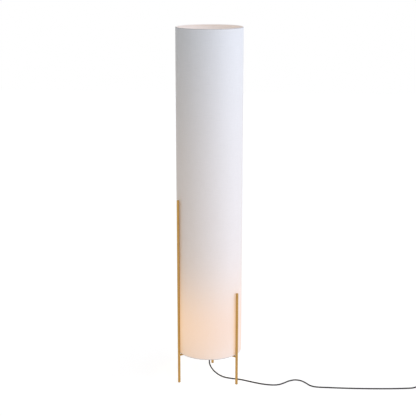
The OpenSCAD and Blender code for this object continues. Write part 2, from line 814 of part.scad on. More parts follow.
module shade_seam_strip() {
    margin = liner_low - rim_z + hem_h;
    color([0.9, 0.89, 0.86]) intersection() {
        shade_sheet(liner_in_r, seam_t, rim_z + margin, shade_top - margin);
        translate([-seam_w / 2, 0, rim_z]) cube([seam_w, shade_r, shade_h]);
    }
}

// ---- Foot switch ----

module at_switch() {
    translate([switch_x, switch_y, 0]) children();
}

module both_sides() {
    for (s = [0, 1]) mirror([s, 0, 0]) children();
}

// Both of the cord's ports, as a cutting shape along X
module ports(d) {
    translate([0, 0, split_z]) rotate([0, 90, 0])
        cylinder(h = switch_d + 2 * cut, d = d, center = true);
}

module at_case_screws() {
    for (s = [-1, 1]) translate([0, s * (switch_r - case_screw_inset), 0]) children();
}

module switch_base() {
    r = switch_r;
    color(black) at_switch() difference() {
        rotate_extrude() polygon([
            [0, pad_t], [r - case_chamfer, pad_t], [r, pad_t + case_chamfer], [r, split_z],
            [r - case_wall, split_z], [r - case_wall, case_inside], [0, case_inside]
        ]);
        ports(relief_d);
        at_case_screws() {
            translate([0, 0, pad_t - cut]) cylinder(h = case_screw_sink + cut, d = case_screw_head_d);
            cylinder(h = split_z, d = case_screw_d);
        }
    }
}

// Half section of the cover, drawn in by a wall
module cover_section(inset) {
    intersection() {
        union() {
            translate([switch_r - shoulder_r, switch_h - shoulder_r])
                circle(r = shoulder_r - inset);
            square([switch_r - inset, switch_h - shoulder_r]);
            square([switch_r - shoulder_r, switch_h - inset]);
        }
        translate([0, split_z - inset]) square([switch_r, switch_h]);
    }
}

module switch_cover() {
    color(black) at_switch() difference() {
        union() {
            rotate_extrude() difference() {
                cover_section(0);
                cover_section(case_wall);
            }
            at_case_screws() translate([0, 0, case_inside])
                cylinder(h = roof_z - case_inside, d = boss_d);
        }
        ports(relief_d);
        translate([0, 0, roof_z - cut])
            cylinder(h = case_wall + 2 * cut, d = button_d + 2 * button_gap);
        at_case_screws() cylinder(h = pad_t + case_screw_sink + case_screw_l, d = case_screw_d);
    }
}

module switch_button() {
    r = button_d / 2;
    flange_z = roof_z - stop_gap - flange_t;
    color([0.12, 0.12, 0.12]) at_switch() {
        difference() {
            rotate_extrude() {
                polygon([
                    [0, flange_z], [r + flange_w, flange_z], [r + flange_w, flange_z + flange_t],
                    [r, flange_z + flange_t], [r, button_top - button_round],
                    [r - button_round, button_top - button_round],
                    [r - button_round, button_top], [0, button_top]
                ]);
                intersection() {
                    translate([r - button_round, button_top - button_round])
                        circle(r = button_round);
                    translate([0, flange_z]) square([r, button_top]);
                }
            }
            translate([0, 0, flange_z - cut])
                cylinder(h = button_ceiling - flange_z + cut, r = r - button_wall);
        }
        for (s = [-1, 1]) translate([0, s * point_r, bridge_z + bridge_t])
            cylinder(h = button_ceiling - bridge_z - bridge_t, d = bridge_w - post_step);
    }
}

module switch_contact_bridge() {
    color([0.8, 0.7, 0.4]) at_switch() translate([0, 0, bridge_z])
        ring_plate(2 * point_r + bridge_w, 2 * point_r - bridge_w, bridge_t);
}

module switch_spring() {
    per_turn = 12;
    count = spring_turns * per_turn;
    r = (spring_d - spring_wire) / 2;
    low = module_top + spring_wire / 2;
    rise = button_ceiling - module_top - spring_wire;
    color(steel) at_switch() helix_wire([for (i = [0 : count])
        [r * cos(360 * i / per_turn), r * sin(360 * i / per_turn), low + rise * i / count]],
        spring_wire / 2);
}

module at_case_terminals() {
    for (s = [-1, 1]) translate([s * case_terminal_x, 0, 0]) children();
}

module switch_contact_block() {
    color([0.85, 0.83, 0.78]) at_switch() difference() {
        translate([-module_l / 2, -module_w / 2, case_inside])
            cube([module_l, module_w, module_top - case_inside]);
        at_case_terminals() translate([0, 0, case_inside + module_floor])
            cylinder(h = module_top, d = terminal_d);
    }
}

module switch_fixed_contacts() {
    color([0.8, 0.7, 0.4]) at_switch() both_sides()
        difference() {
            union() {
                translate([strip_in, -strip_w / 2, module_top])
                    cube([strip_out - strip_in, strip_w, strip_t]);
                translate([point_r, 0, module_top]) cylinder(h = rivet_top - module_top, d = rivet_d);
            }
            translate([case_terminal_x, 0, module_top - cut])
                cylinder(h = strip_t + 2 * cut, d = terminal_d);
        }
}

module switch_terminal_screws() {
    color(steel) at_switch() at_case_terminals() {
        translate([0, 0, module_top + strip_t])
            cylinder(h = terminal_head_h, d = terminal_head_d);
        translate([0, 0, case_inside + module_floor])
            cylinder(h = module_h + strip_t - module_floor, d = terminal_d);
    }
}

module switch_cord_clamps() {
    top = split_z + cord_r + clamp_over;
    color([0.2, 0.2, 0.2]) at_switch() both_sides()
        difference() {
            translate([clamp_x, -clamp_w / 2, case_inside])
                cube([clamp_l, clamp_w, top - case_inside]);
            translate([clamp_x - cut, 0, split_z]) rotate([0, 90, 0])
                cylinder(h = clamp_l + 2 * cut, d = cord_d);
        }
}

module switch_case_screws() {
    color(steel) at_switch() at_case_screws() translate([0, 0, pad_t]) difference() {
        union() {
            cylinder(h = case_screw_sink, d = case_screw_head_d);
            cylinder(h = case_screw_l, d = case_screw_d);
        }
        for (a = [0, 90]) rotate([0, 0, a]) translate([-recess_l / 2, -recess_w / 2, -cut])
            cube([recess_l, recess_w, cut + case_screw_sink / 2]);
    }
}

module switch_feet() {
    color([0.15, 0.15, 0.15]) at_switch() for (a = [45 : 90 : 315]) rotate([0, 0, a])
        translate([switch_r - pad_inset, 0, 0]) cylinder(h = pad_t, d = pad_d);
}

// Tapered sleeves where the cord enters and leaves the case, each held by an inner flange
module switch_reliefs() {
    color(black) at_switch() both_sides() translate([0, 0, split_z]) rotate([0, 90, 0])
        difference() {
            union() {
                translate([0, 0, relief_in]) cylinder(h = switch_r - relief_in, d = relief_d);
                translate([0, 0, relief_in])
                    cylinder(h = relief_flange_t, d = relief_d + 2 * relief_flange);
                translate([0, 0, switch_r]) tapered_nose(relief_l, relief_d, nose_wall, 4);
            }
            translate([0, 0, relief_in - cut]) cylinder(h = relief_l + switch_r, d = cord_d);
        }
}

module switch_cord_ends() {
    color(black) at_switch() both_sides()
        translate([jacket_end, 0, split_z]) rotate([0, 90, 0])
            cylinder(h = relief_end - jacket_end, d = cord_d);
}

// The live core is cut: each half climbs onto the block and ends at a terminal screw
module switch_live_cores() {
    end_x = case_terminal_x + terminal_head_d / 2;
    z = module_top + strip_t + terminal_head_h / 2;
    straight = 0.4;
    color([0.4, 0.22, 0.12]) at_switch() both_sides() tube_along([
        [jacket_end, core_y, split_z], [jacket_end - straight, core_y, split_z],
        [module_l / 2, core_y / 2, z], [end_x + straight, 0, z], [end_x, 0, z]
    ], core_d / 2, 8);
}

// The neutral core runs round the contact block in one length
module switch_neutral_core() {
    out = core_d / 2 + core_room;
    side_x = module_l / 2 + out;
    side_y = -module_w / 2 - out;
    bend = 0.6;
    half = [
        [jacket_end, -core_y], [jacket_end - bend, -core_y],
        [jacket_end - 2 * bend, -core_y - bend], [side_x, -core_y - 3 * bend],
        [side_x, side_y + 3 * bend], [side_x - bend, side_y + bend / 2],
        [side_x - 4 * bend, side_y]
    ];
    color([0.12, 0.25, 0.55]) at_switch() level_tube(concat(
        [for (p = half) [-p[0], p[1], split_z]],
        [for (p = backwards(half)) [p[0], p[1], split_z]]
    ), core_d / 2);
}

// ---- Cord and plug ----

module lamp_cord() { color(black) tube_along(smooth(CORD_ROUTE), cord_r); }
module mains_cord_lead() { color(black) tube_along(smooth(LEAD_ROUTE), cord_r); }
module mains_cord_tail() { color(black) tube_along(smooth(TAIL_ROUTE), cord_r); }

module mains_cord_coil() {
    edge = 2;
    color(black) translate([coil_x, coil_y, 0]) rotate_extrude() polygon([
        [coil_in_r, coil_low + edge], [coil_in_r + edge, coil_low],
        [coil_out_r - edge, coil_low], [coil_out_r, coil_low + edge],
        [coil_out_r, coil_high - edge], [coil_out_r - edge, coil_high],
        [coil_in_r + edge, coil_high], [coil_in_r, coil_high - edge]
    ]);
}

// A flat loop round the coil's bundle of turns
module cord_tie() {
    inner_x = sqrt(pow(coil_in_r, 2) - pow(tie_w / 2, 2));
    width = coil_out_r - inner_x;
    color([0.1, 0.1, 0.1]) translate([coil_x + inner_x, coil_y + tie_w / 2, 0])
        rotate([90, 0, 0]) linear_extrude(tie_w) difference() {
            translate([-tie_t, 0]) square([width + 2 * tie_t, coil_high + tie_t]);
            translate([0, tie_t]) square([width, coil_high - tie_t]);
        }
}

// The plug lies flat, its pins toward -X
module plug_body() {
    w = plug_w / 2;
    t = plug_t / 2;
    c = plug_chamfer;
    color(black) translate([plug_face_x, plug_y, plug_z]) difference() {
        union() {
            intersection() {
                translate([0, 0, -t]) linear_extrude(plug_t) polygon([
                    [0, -w + c], [c, -w], [plug_straight, -w], [plug_l, -plug_tail_w / 2],
                    [plug_l, plug_tail_w / 2], [plug_straight, w], [c, w], [0, w - c]
                ]);
                rotate([90, 0, 90]) linear_extrude(plug_l) polygon([
                    [-w, -t + c], [-w + c, -t], [w - c, -t], [w, -t + c],
                    [w, t - c], [w - c, t], [-w + c, t], [-w, t - c]
                ]);
            }
            translate([plug_l, 0, 0]) rotate([0, 90, 0])
                tapered_nose(plug_relief_l, plug_t - nose_step, nose_wall, 3);
        }
        for (s = [-1, 1]) translate([-cut, s * pin_pitch / 2, 0]) rotate([0, 90, 0])
            cylinder(h = pin_root + cut, d = pin_root_d);
    }
}

module plug_pins() {
    r = pin_d / 2;
    color(steel) translate([plug_face_x, plug_y, plug_z]) for (s = [-1, 1])
        translate([0, s * pin_pitch / 2, 0]) rotate([0, -90, 0]) rotate_extrude() {
            translate([0, -pin_root]) square([pin_root_d / 2, pin_root + pin_l / 2]);
            square([r, pin_l - pin_round]);
            square([r - pin_round, pin_l]);
            intersection() {
                translate([r - pin_round, pin_l - pin_round]) circle(r = pin_round);
                square([r, pin_l]);
            }
        }
}

leg_tall();
leg_rear();
leg_short();
leg_glides();
arm_tall();
arm_rear();
arm_short();
arm_studs();
hub_disc();
hub_grub_screws();
entry_tube();
tube_nuts();
tube_washers();
cord_gland();
cord_inner_end();
live_wire();
neutral_wire();
holder_cap();
holder_body();
holder_contact_block();
holder_thread_shell();
holder_centre_contact();
holder_terminal_screws();
bulb_diffuser();
bulb_housing();
bulb_light_board();
bulb_screw_cap();
bulb_cap_insulator();
bulb_tip_contact();
shade_fabric();
shade_liner();
shade_top_ring();
shade_bottom_ring();
shade_top_hem();
shade_bottom_hem();
shade_seam_strip();
lamp_cord();
switch_base();
switch_cover();
switch_button();
switch_spring();
switch_contact_bridge();
switch_contact_block();
switch_fixed_contacts();
switch_terminal_screws();
switch_cord_clamps();
switch_case_screws();
switch_feet();
switch_reliefs();
switch_cord_ends();
switch_live_cores();
switch_neutral_core();
mains_cord_lead();
mains_cord_coil();
mains_cord_tail();
cord_tie();
plug_body();
plug_pins();
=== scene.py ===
"""The looks of the column floor lamp, in metres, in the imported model's frame: +Z is up, the rear
leg stands toward +Y, and the cord runs to +X. The CAD pieces keep their shape and get their
finish here. The fabric skin, the hems, the cords, the tie and the return spring are modelled
pieces."""

from math import acos, cos, pi, radians, sin

import bmesh
import bpy
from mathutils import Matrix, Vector


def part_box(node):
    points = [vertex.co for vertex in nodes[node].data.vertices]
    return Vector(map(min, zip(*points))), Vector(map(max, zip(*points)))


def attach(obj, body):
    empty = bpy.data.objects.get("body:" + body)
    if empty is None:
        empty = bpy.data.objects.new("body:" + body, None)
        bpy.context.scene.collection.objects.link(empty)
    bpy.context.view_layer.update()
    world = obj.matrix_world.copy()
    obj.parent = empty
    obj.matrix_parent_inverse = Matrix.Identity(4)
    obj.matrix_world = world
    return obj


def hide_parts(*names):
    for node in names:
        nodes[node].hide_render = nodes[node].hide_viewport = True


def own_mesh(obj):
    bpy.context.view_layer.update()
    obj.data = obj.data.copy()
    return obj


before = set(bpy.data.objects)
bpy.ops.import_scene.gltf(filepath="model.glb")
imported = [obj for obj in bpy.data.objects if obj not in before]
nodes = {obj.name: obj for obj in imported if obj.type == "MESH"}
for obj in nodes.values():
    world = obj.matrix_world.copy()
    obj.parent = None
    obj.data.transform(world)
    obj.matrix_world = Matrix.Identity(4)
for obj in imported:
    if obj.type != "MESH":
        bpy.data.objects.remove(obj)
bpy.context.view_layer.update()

# ---- Sizes, from the frame ----
MM = 0.001
SHADE_LOW, SHADE_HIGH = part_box("shade_fabric")
SHADE_R = SHADE_HIGH.x
LINER_OUT_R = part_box("shade_liner")[1].x
FABRIC_T = SHADE_R - LINER_OUT_R
LINER_IN_R = LINER_OUT_R - FABRIC_T
RIM_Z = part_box("shade_bottom_hem")[0].z
TOP_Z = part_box("shade_top_hem")[1].z
FLAP_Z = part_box("shade_bottom_hem")[1].z
ROLL_R = SHADE_LOW.z - RIM_Z
WIRE_R = (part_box("shade_bottom_ring")[1].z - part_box("shade_bottom_ring")[0].z) / 2
LAMP_LOW, LAMP_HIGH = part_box("bulb_diffuser")
LAMP_R = LAMP_HIGH.x
LAMP_Z = LAMP_HIGH.z - LAMP_R
GLAND_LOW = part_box("cord_gland")[0].z
COIL_LOW, COIL_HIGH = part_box("mains_cord_coil")
COIL_CENTRE = (COIL_LOW + COIL_HIGH) / 2
CORD_D = 0.005
# How far the lamp's light chips stand above their board
CHIP_RISE = 0.7 * MM
# Where the fabric's ends meet, as an angle round the axis: at the rear
SEAM = pi / 2

# ---- Camera, at the photograph's place ----
CAMERA_PLACE = Vector((0.35581, -3.64978, 1.57185))
# The way it looks
CAMERA_LOOK = Vector((-0.09553, 0.96557, -0.24194))
# Focal length and sensor width, in millimetres
CAMERA_LENS = 89.52
CAMERA_SENSOR = 36


def add_camera():
    data = bpy.data.cameras.new("camera")
    data.sensor_width = CAMERA_SENSOR
    data.lens = CAMERA_LENS
    camera = bpy.data.objects.new("camera", data)
    bpy.context.collection.objects.link(camera)
    camera.location = CAMERA_PLACE
    camera.rotation_euler = CAMERA_LOOK.to_track_quat("-Z", "Y").to_euler()
    bpy.context.scene.camera = camera


# ---- Node materials ----
# The span that holds most of a noise's values
NOISE_LOW = 0.3
NOISE_HIGH = 0.7
# Features to the metre in the grain of brushed metal, across the brushing and along it
GRAIN_ACROSS = 2600
GRAIN_ALONG = 40
# Features to the metre in the slubs of a thread, across the thread and along it
SLUB_ACROSS = 700
SLUB_ALONG = 25
# Features to the metre in the liner's flow lines, round the shade and up it
FLOW_ROUND = 260
FLOW_UP = 6


class Nodes:
    """Short calls that add nodes to one tree and link them."""

    def __init__(self, tree):
        self.tree = tree

    def node(self, kind, **settings):
        made = self.tree.nodes.new(kind)
        for key, value in settings.items():
            setattr(made, key, value)
        return made

    def feed(self, socket, value):
        if isinstance(value, bpy.types.NodeSocket):
            self.tree.links.new(value, socket)
        else:
            socket.default_value = value

    def math(self, operation, a, b=0.0):
        made = self.node("ShaderNodeMath", operation=operation)
        self.feed(made.inputs[0], a)
        self.feed(made.inputs[1], b)
        return made.outputs[0]

    def split(self, vector):
        made = self.node("ShaderNodeSeparateXYZ")
        self.feed(made.inputs[0], vector)
        return made.outputs

    def join(self, x, y, z):
        made = self.node("ShaderNodeCombineXYZ")
        for socket, value in zip(made.inputs, (x, y, z)):
            self.feed(socket, value)
        return made.outputs[0]

    def vector(self, operation, a, b):
        """A vector from two vectors."""
        made = self.node("ShaderNodeVectorMath", operation=operation)
        self.feed(made.inputs[0], a)
        self.feed(made.inputs[1], b)
        return made.outputs[0]

    def measured(self, operation, a, b=(0, 0, 0)):
        """A number from one vector or two."""
        made = self.node("ShaderNodeVectorMath", operation=operation)
        self.feed(made.inputs[0], a)
        self.feed(made.inputs[1], b)
        return made.outputs["Value"]

    def scaled(self, vector, amount):
        made = self.node("ShaderNodeVectorMath", operation="SCALE")
        self.feed(made.inputs[0], vector)
        self.feed(made.inputs["Scale"], amount)
        return made.outputs[0]

    def noise(self, vector, scale, detail=3.0):
        """Noise from 0 to 1, with features about 1/scale apart."""
        made = self.node("ShaderNodeTexNoise")
        self.feed(made.inputs["Vector"], vector)
        self.feed(made.inputs["Scale"], scale)
        self.feed(made.inputs["Detail"], detail)
        return made.outputs["Fac"]

    def streaks(self, along, up, along_scale, up_scale):
        """Noise over a surface, with a scale of its own in each direction."""
        place = self.join(self.math("MULTIPLY", along, along_scale), 0.0,
                          self.math("MULTIPLY", up, up_scale))
        return self.noise(place, 1.0)

    def span(self, value, low, high, from_low=0.0, from_high=1.0):
        """Maps a value to the span from low to high, and holds it there."""
        made = self.node("ShaderNodeMapRange")
        for socket, number in zip(made.inputs, (value, from_low, from_high, low, high)):
            self.feed(socket, number)
        return made.outputs[0]

    def spread(self, noise, low, high):
        """Maps a noise to the span from low to high."""
        return self.span(noise, low, high, NOISE_LOW, NOISE_HIGH)

    def mix(self, factor, a, b):
        made = self.node("ShaderNodeMix", data_type="RGBA")
        self.feed(made.inputs["Factor"], factor)
        self.feed(made.inputs["A"], a)
        self.feed(made.inputs["B"], b)
        return made.outputs["Result"]

    def seen(self):
        """1 for the rays that show this straight, in metal or through glass, 0 for the rest."""
        path = self.node("ShaderNodeLightPath").outputs
        straight = self.math("MAXIMUM", path["Is Camera Ray"], path["Is Transmission Ray"])
        return self.math("MAXIMUM", straight, path["Is Glossy Ray"])


class Finish(Nodes):
    """A node material built round one Principled shader. Points are read in object space, which
    is the row frame in metres."""

    def __init__(self, name, colour, roughness, metallic=0.0, **sockets):
        self.material = bpy.data.materials.new(name)
        self.material.use_nodes = True
        super().__init__(self.material.node_tree)
        self.shader = self.tree.nodes["Principled BSDF"]
        self.colour = (*colour, 1)
        self.set("Base Color", self.colour)
        self.set("Roughness", roughness)
        self.set("Metallic", metallic)
        for socket, value in sockets.items():
            self.set(socket.replace("_", " "), value)
        self.point = self.node("ShaderNodeTexCoord").outputs["Object"]

    def set(self, socket, value):
        self.feed(self.shader.inputs[socket], value)

    def darker(self, amount):
        return (*(c * (1 - amount) for c in self.colour[:3]), 1)

    def shade(self, factor, amount):
        """Varies the base colour between itself and itself times 1 - amount."""
        self.set("Base Color", self.mix(factor, self.colour, self.darker(amount)))

    def bump(self, height, distance, strength=1.0):
        made = self.node("ShaderNodeBump")
        self.feed(made.inputs["Height"], height)
        self.feed(made.inputs["Distance"], distance)
        self.feed(made.inputs["Strength"], strength)
        self.set("Normal", made.outputs[0])

    def height(self):
        return self.split(self.point)[2]

    def from_axis(self):
        """The point's distance from the shade's axis."""
        return self.measured("LENGTH", self.vector("MULTIPLY", self.point, (1, 1, 0)))

    def round_the_axis(self):
        """The point's arc length round the shade's axis, and its height."""
        x, y, z = self.split(self.point)
        turn = self.math("ARCTAN2", y, x)
        return self.math("MULTIPLY", turn, SHADE_R), z

    def weave(self, along, across, pitch):
        """Height of a plain weave: threads go over and under each other, from 0 to 1."""
        a = self.math("SINE", self.math("MULTIPLY", along, 2 * pi / pitch))
        b = self.math("SINE", self.math("MULTIPLY", across, 2 * pi / pitch))
        return self.span(self.math("MULTIPLY", a, b), 0, 1, -1, 1)


def brushed_metal(name, colour, axis, roughness=0.3):
    """Metal brushed along an axis, with faint handling marks."""
    finish = Finish(name, colour, roughness, 1.0, Anisotropic=0.4)
    along = finish.measured("DOT_PRODUCT", finish.point, axis)
    drawn_out = finish.scaled(axis, finish.math("MULTIPLY", along, GRAIN_ALONG - GRAIN_ACROSS))
    lines = finish.vector("ADD", finish.scaled(finish.point, GRAIN_ACROSS), drawn_out)
    grain = finish.noise(lines, 1.0)
    marks = finish.noise(finish.point, 60)
    wear = finish.math("MULTIPLY", grain, 0.5)
    wear = finish.math("ADD", wear, finish.math("MULTIPLY", marks, 0.5))
    finish.set("Roughness", finish.spread(wear, roughness - 0.07, roughness + 0.1))
    finish.shade(finish.spread(wear, 0, 1), 0.16)
    finish.bump(grain, 0.01 * MM, 0.5)
    return finish.material


def turned_metal(name, colour, roughness=0.3):
    """Metal faced on a lathe: fine rings round the shade's axis."""
    finish = Finish(name, colour, roughness, 1.0)
    rings = finish.noise(finish.join(finish.from_axis(), finish.height(), 0.0), 2400)
    finish.set("Roughness", finish.spread(rings, roughness - 0.06, roughness + 0.1))
    finish.shade(finish.noise(finish.point, 90), 0.18)
    finish.bump(rings, 0.01 * MM, 0.5)
    return finish.material


def moulded(name, colour, roughness, grain=1500, depth=0.03, variation=0.1):
    """Moulded plastic or rubber with a fine grain and uneven gloss."""
    finish = Finish(name, colour, roughness)
    fine = finish.noise(finish.point, grain, 2)
    broad = finish.noise(finish.point, 70, 4)
    finish.shade(broad, variation)
    finish.set("Roughness", finish.spread(broad, roughness - 0.05, roughness + 0.08))
    finish.bump(fine, depth * MM)
    return finish.material


def cord_jacket(name):
    """A smooth black jacket with a faint dust bloom."""
    finish = Finish(name, (0.014, 0.010, 0.0085), 0.5, Specular_IOR_Level=0.25)
    bloom = finish.noise(finish.point, 45, 4)
    fine = finish.noise(finish.point, 900, 2)
    finish.set("Base Color", finish.mix(bloom, finish.colour, (0.027, 0.020, 0.017, 1)))
    finish.set("Roughness", finish.spread(bloom, 0.44, 0.58))
    finish.bump(fine, 0.02 * MM)
    return finish.material


# The glow is emission by height, and its values were fitted to the photograph: its height, how
# far its core and its tail reach, and the core's share
GLOW_Z = 0.219
GLOW_CORE = 0.182
GLOW_REACH = 1.06
CORE_SHARE = 0.636
# Its colour through the fabric, and on the liner's inner face
GLOW_SHADE = (0.798, 0.486, 0.226)
GLOW_INSIDE = (0.50, 0.33, 0.19)
# How much darker the base colour is where the glow is full, in each channel, and the power of
# the glow by which that fades. Both were fitted with the glow.
DIM = (0.80, 0.655, 0.488)
DIM_POWER = 1.18
# The least light that the liner gives at any height, for what its walls throw at each other
SCATTERED = (0.14, 0.105, 0.085)


def glow(finish):
    """How strongly the lamp lights the shade from inside, by height in the world, 0 to 1. The
    lamp stays on the stand, so the glow does too when the shade is lifted."""
    z = finish.split(finish.node("ShaderNodeNewGeometry").outputs["Position"])[2]
    away = finish.math("ABSOLUTE", finish.math("SUBTRACT", z, GLOW_Z))
    core = finish.math("POWER", finish.math("DIVIDE", away, GLOW_CORE), 2)
    core = finish.math("EXPONENT", finish.math("MULTIPLY", core, -1))
    tail = finish.span(away, 1, 0, 0, GLOW_REACH)
    return finish.math("ADD", finish.math("MULTIPLY", core, CORE_SHARE),
                       finish.math("MULTIPLY", tail, 1 - CORE_SHARE))


def lit_from_inside(finish, colour, emission, least, passed=1.0):
    """Makes a finish give the share of the lamp's glow that is passed on, and at least the least
    light. Its base colour is darker where it glows."""
    amount = finish.math("MULTIPLY", glow(finish), passed)
    lost = finish.scaled(DIM, finish.math("POWER", amount, DIM_POWER))
    kept = finish.vector("SUBTRACT", (1, 1, 1), lost)
    finish.set("Base Color", finish.vector("MULTIPLY", colour, kept))
    finish.set("Emission Color", finish.vector("MAXIMUM", finish.scaled(emission, amount), least))
    finish.set("Emission Strength", 1.0)


def slubs(finish, along, z):
    """How thick the threads of both directions are, from 0 to 1."""
    weft = finish.streaks(along, z, SLUB_ALONG, SLUB_ACROSS)
    warp = finish.streaks(along, z, SLUB_ACROSS, SLUB_ALONG)
    return finish.span(finish.math("ADD", weft, warp), 0, 1, 0.75, 1.25)


def shade_textile(name, colour, pitch, emission, lit_inside=(0, 0, 0)):
    """White plain-weave fabric with slubs along both threads, lit through from inside. Where it
    lies inside the liner it gives at least lit_inside."""
    finish = Finish(name, colour, 0.85, Sheen_Weight=0.05, Sheen_Roughness=0.4)
    along, z = finish.round_the_axis()
    threads = finish.weave(along, z, pitch)
    slub = slubs(finish, along, z)
    tone = finish.math("ADD", finish.math("MULTIPLY", slub, 0.1),
                       finish.math("MULTIPLY", threads, 0.1))
    cloth = finish.mix(tone, finish.colour, finish.darker(0.45))
    inner = finish.math("LESS_THAN", finish.from_axis(), LINER_IN_R)
    over_ring = finish.span(z, RING_PASSES, 1, SHADE_LOW.z + WIRE_R, SHADE_LOW.z + 2 * WIRE_R)
    lit_from_inside(finish, cloth, emission, finish.scaled(lit_inside, inner), over_ring)
    relief = finish.math("ADD", threads, finish.math("MULTIPLY", slub, 0.6))
    finish.bump(relief, 0.06 * MM, 0.6)
    return finish.material


def liner_plastic(name):
    """The translucent sheet behind the fabric: faint vertical flow lines, bright near the lamp."""
    finish = Finish(name, (0.93, 0.92, 0.9), 0.45)
    along, z = finish.round_the_axis()
    flow = finish.streaks(along, z, FLOW_ROUND, FLOW_UP)
    sheet = finish.mix(flow, finish.colour, (0.86, 0.85, 0.83, 1))
    lit_from_inside(finish, sheet, GLOW_INSIDE, SCATTERED)
    finish.bump(flow, 0.03 * MM)
    return finish.material


def opal_glass(name):
    """The frosted globe: an even warm light, a little weaker toward its neck."""
    finish = Finish(name, (0.9, 0.85, 0.77), 0.5, Emission_Strength=0.6)
    neck = finish.span(finish.height(), 0.75, 1, LAMP_LOW.z, LAMP_Z)
    frost = finish.noise(finish.point, 1800, 2)
    warm = finish.mix(finish.spread(frost, 0, 1), (1, 0.83, 0.6, 1), (1, 0.8, 0.56, 1))
    finish.set("Emission Color", finish.scaled(warm, neck))
    finish.bump(frost, 0.01 * MM)
    return finish.material


def light_board(name):
    """A white board, with yellow phosphor on the chips that stand above its face."""
    finish = Finish(name, (0.85, 0.85, 0.8), 0.5)
    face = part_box("bulb_light_board")[1].z - CHIP_RISE / 2
    chip = finish.math("GREATER_THAN", finish.height(), face)
    spots = finish.noise(finish.point, 600)
    board = finish.mix(spots, finish.colour, (0.78, 0.78, 0.74, 1))
    finish.set("Base Color", finish.mix(chip, board, (0.9, 0.72, 0.2, 1)))
    finish.bump(spots, 0.02 * MM)
    return finish.material


def strap_weave(name):
    """A woven strap across the cord's turns."""
    finish = Finish(name, (0.05, 0.05, 0.052), 0.9, Sheen_Weight=0.3, Sheen_Roughness=0.5)
    x, y, z = finish.split(finish.point)
    threads = finish.weave(finish.math("ADD", x, z), y, 0.9 * MM)
    finish.shade(threads, 0.45)
    finish.bump(threads, 0.15 * MM)
    return finish.material


# ---- Meshes ----
# Edges that turn by more than this, in degrees, stay sharp on a modelled piece and a CAD piece
SHARP_MODELLED = 40
SHARP_CAD = 35


def piece(name, mesh, body, material, sharp=SHARP_MODELLED):
    """Links a mesh as a piece that rides on a body, with its finish."""
    made = bpy.data.objects.new(name, mesh)
    bpy.context.collection.objects.link(made)
    mesh.shade_smooth()
    mesh.set_sharp_from_angle(angle=radians(sharp))
    mesh.materials.append(material)
    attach(made, body)
    return made


def ring_mesh(name, rings, joined):
    """A mesh of quads from ring to ring, all with as many points. The last ring joins the first
    if joined is true, and otherwise flat caps close both ends."""
    mesh = bpy.data.meshes.new(name)
    bm = bmesh.new()
    made = [[bm.verts.new(p) for p in ring] for ring in rings]
    after = made[1:] + made[:1] if joined else made[1:]
    for ring, following in zip(made, after):
        for k in range(len(ring)):
            n = (k + 1) % len(ring)
            bm.faces.new((ring[k], ring[n], following[n], following[k]))
    if not joined:
        bm.faces.new(made[0][::-1])
        bm.faces.new(made[-1])
    bmesh.ops.recalc_face_normals(bm, faces=bm.faces)
    bm.to_mesh(mesh)
    bm.free()
    return mesh


def polar(r, a, z):
    """A point at a distance from the shade's axis, an angle round it and a height."""
    return Vector((r * cos(a), r * sin(a), z))


def ease(t):
    """Goes smoothly from 0 to 1, and stays there."""
    t = min(1, max(0, t))
    return t * t * (3 - 2 * t)


# ---- Shade ----
# How far the fabric laps over its start, and the length over which its end rises on to it
LAP = 0.012
LAP_RISE = 0.004
# The skin's share of the fabric's thickness, so that it stays off the liner
SKIN_SHARE = 0.95
# Waves that make the skin uneven: height in millimetres, turns round, rise with height, shift
UNEVEN = [(0.06, 3, 4, 0), (0.05, 7, -9, 1), (0.03, 2, 17, 0)]
# Waves that pucker a hem: height in millimetres, turns round, shift
PUCKERS = [(0.06, 61, 0), (0.05, 97, 1.3), (0.04, 151, 0.4)]
# How much of its height a pucker also moves up or down
PUCKER_LIFT = 0.08
# How far a hem stands out where it laps, and how far it is drawn in all round
HEM_LAP = 0.5 * MM
HEM_INSET = 0.08 * MM
# How far outside the liner a hem's puckers, lap and inset are there in full
HEM_TURN = 0.6 * MM
# How far the flap's upper edge is rounded, and the share of its height at which its sides have
# a point more
FLAP_EDGE = 0.1 * MM
FLAP_FLAT = 0.6
# Share of the glow that passes the doubled tape at the rims
HEM_GLOW = 0.2
# Share of the glow that passes the wire in the lower rim
RING_PASSES = 0.66
# The least light that a hem gives inside the liner, for what the lit walls throw at it
TAPE_INSIDE = (0.29, 0.245, 0.22)


def unevenness(a, z):
    """How far the laminated skin stands off a true cylinder, within a seventh of a millimetre."""
    return MM * sum(high * sin(round_it * a + up * z + shift) for high, round_it, up, shift in UNEVEN)


def skin_mesh():
    """One sheet wrapped round the liner, whose end laps over its start."""
    around = 200
    rows = 60
    first = SEAM - LAP / 2 / SHADE_R
    turn = 2 * pi + LAP / SHADE_R
    columns = []
    for i in range(around + 1):
        a = first + turn * i / around
        covered = (turn * (1 - i / around)) * SHADE_R
        lift = FABRIC_T * ease((LAP + LAP_RISE - covered) / LAP_RISE)
        outer = []
        inner = []
        for k in range(rows + 1):
            z = SHADE_LOW.z + (SHADE_HIGH.z - SHADE_LOW.z) * k / rows
            edge = ease(min(k, rows - k) / 2)
            r = SHADE_R + lift + unevenness(a, z) * edge
            outer.append(polar(r, a, z))
            inner.append(polar(r - FABRIC_T * SKIN_SHARE, a, z))
        columns.append(outer + inner[::-1])
    return ring_mesh("shade_skin", columns, joined=False)


def shade_skin():
    cloth = shade_textile("white_fabric", (0.95, 0.95, 0.95), 0.8 * MM, GLOW_SHADE)
    made = piece("shade_skin", skin_mesh(), "shade", cloth)
    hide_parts("shade_fabric")
    return made


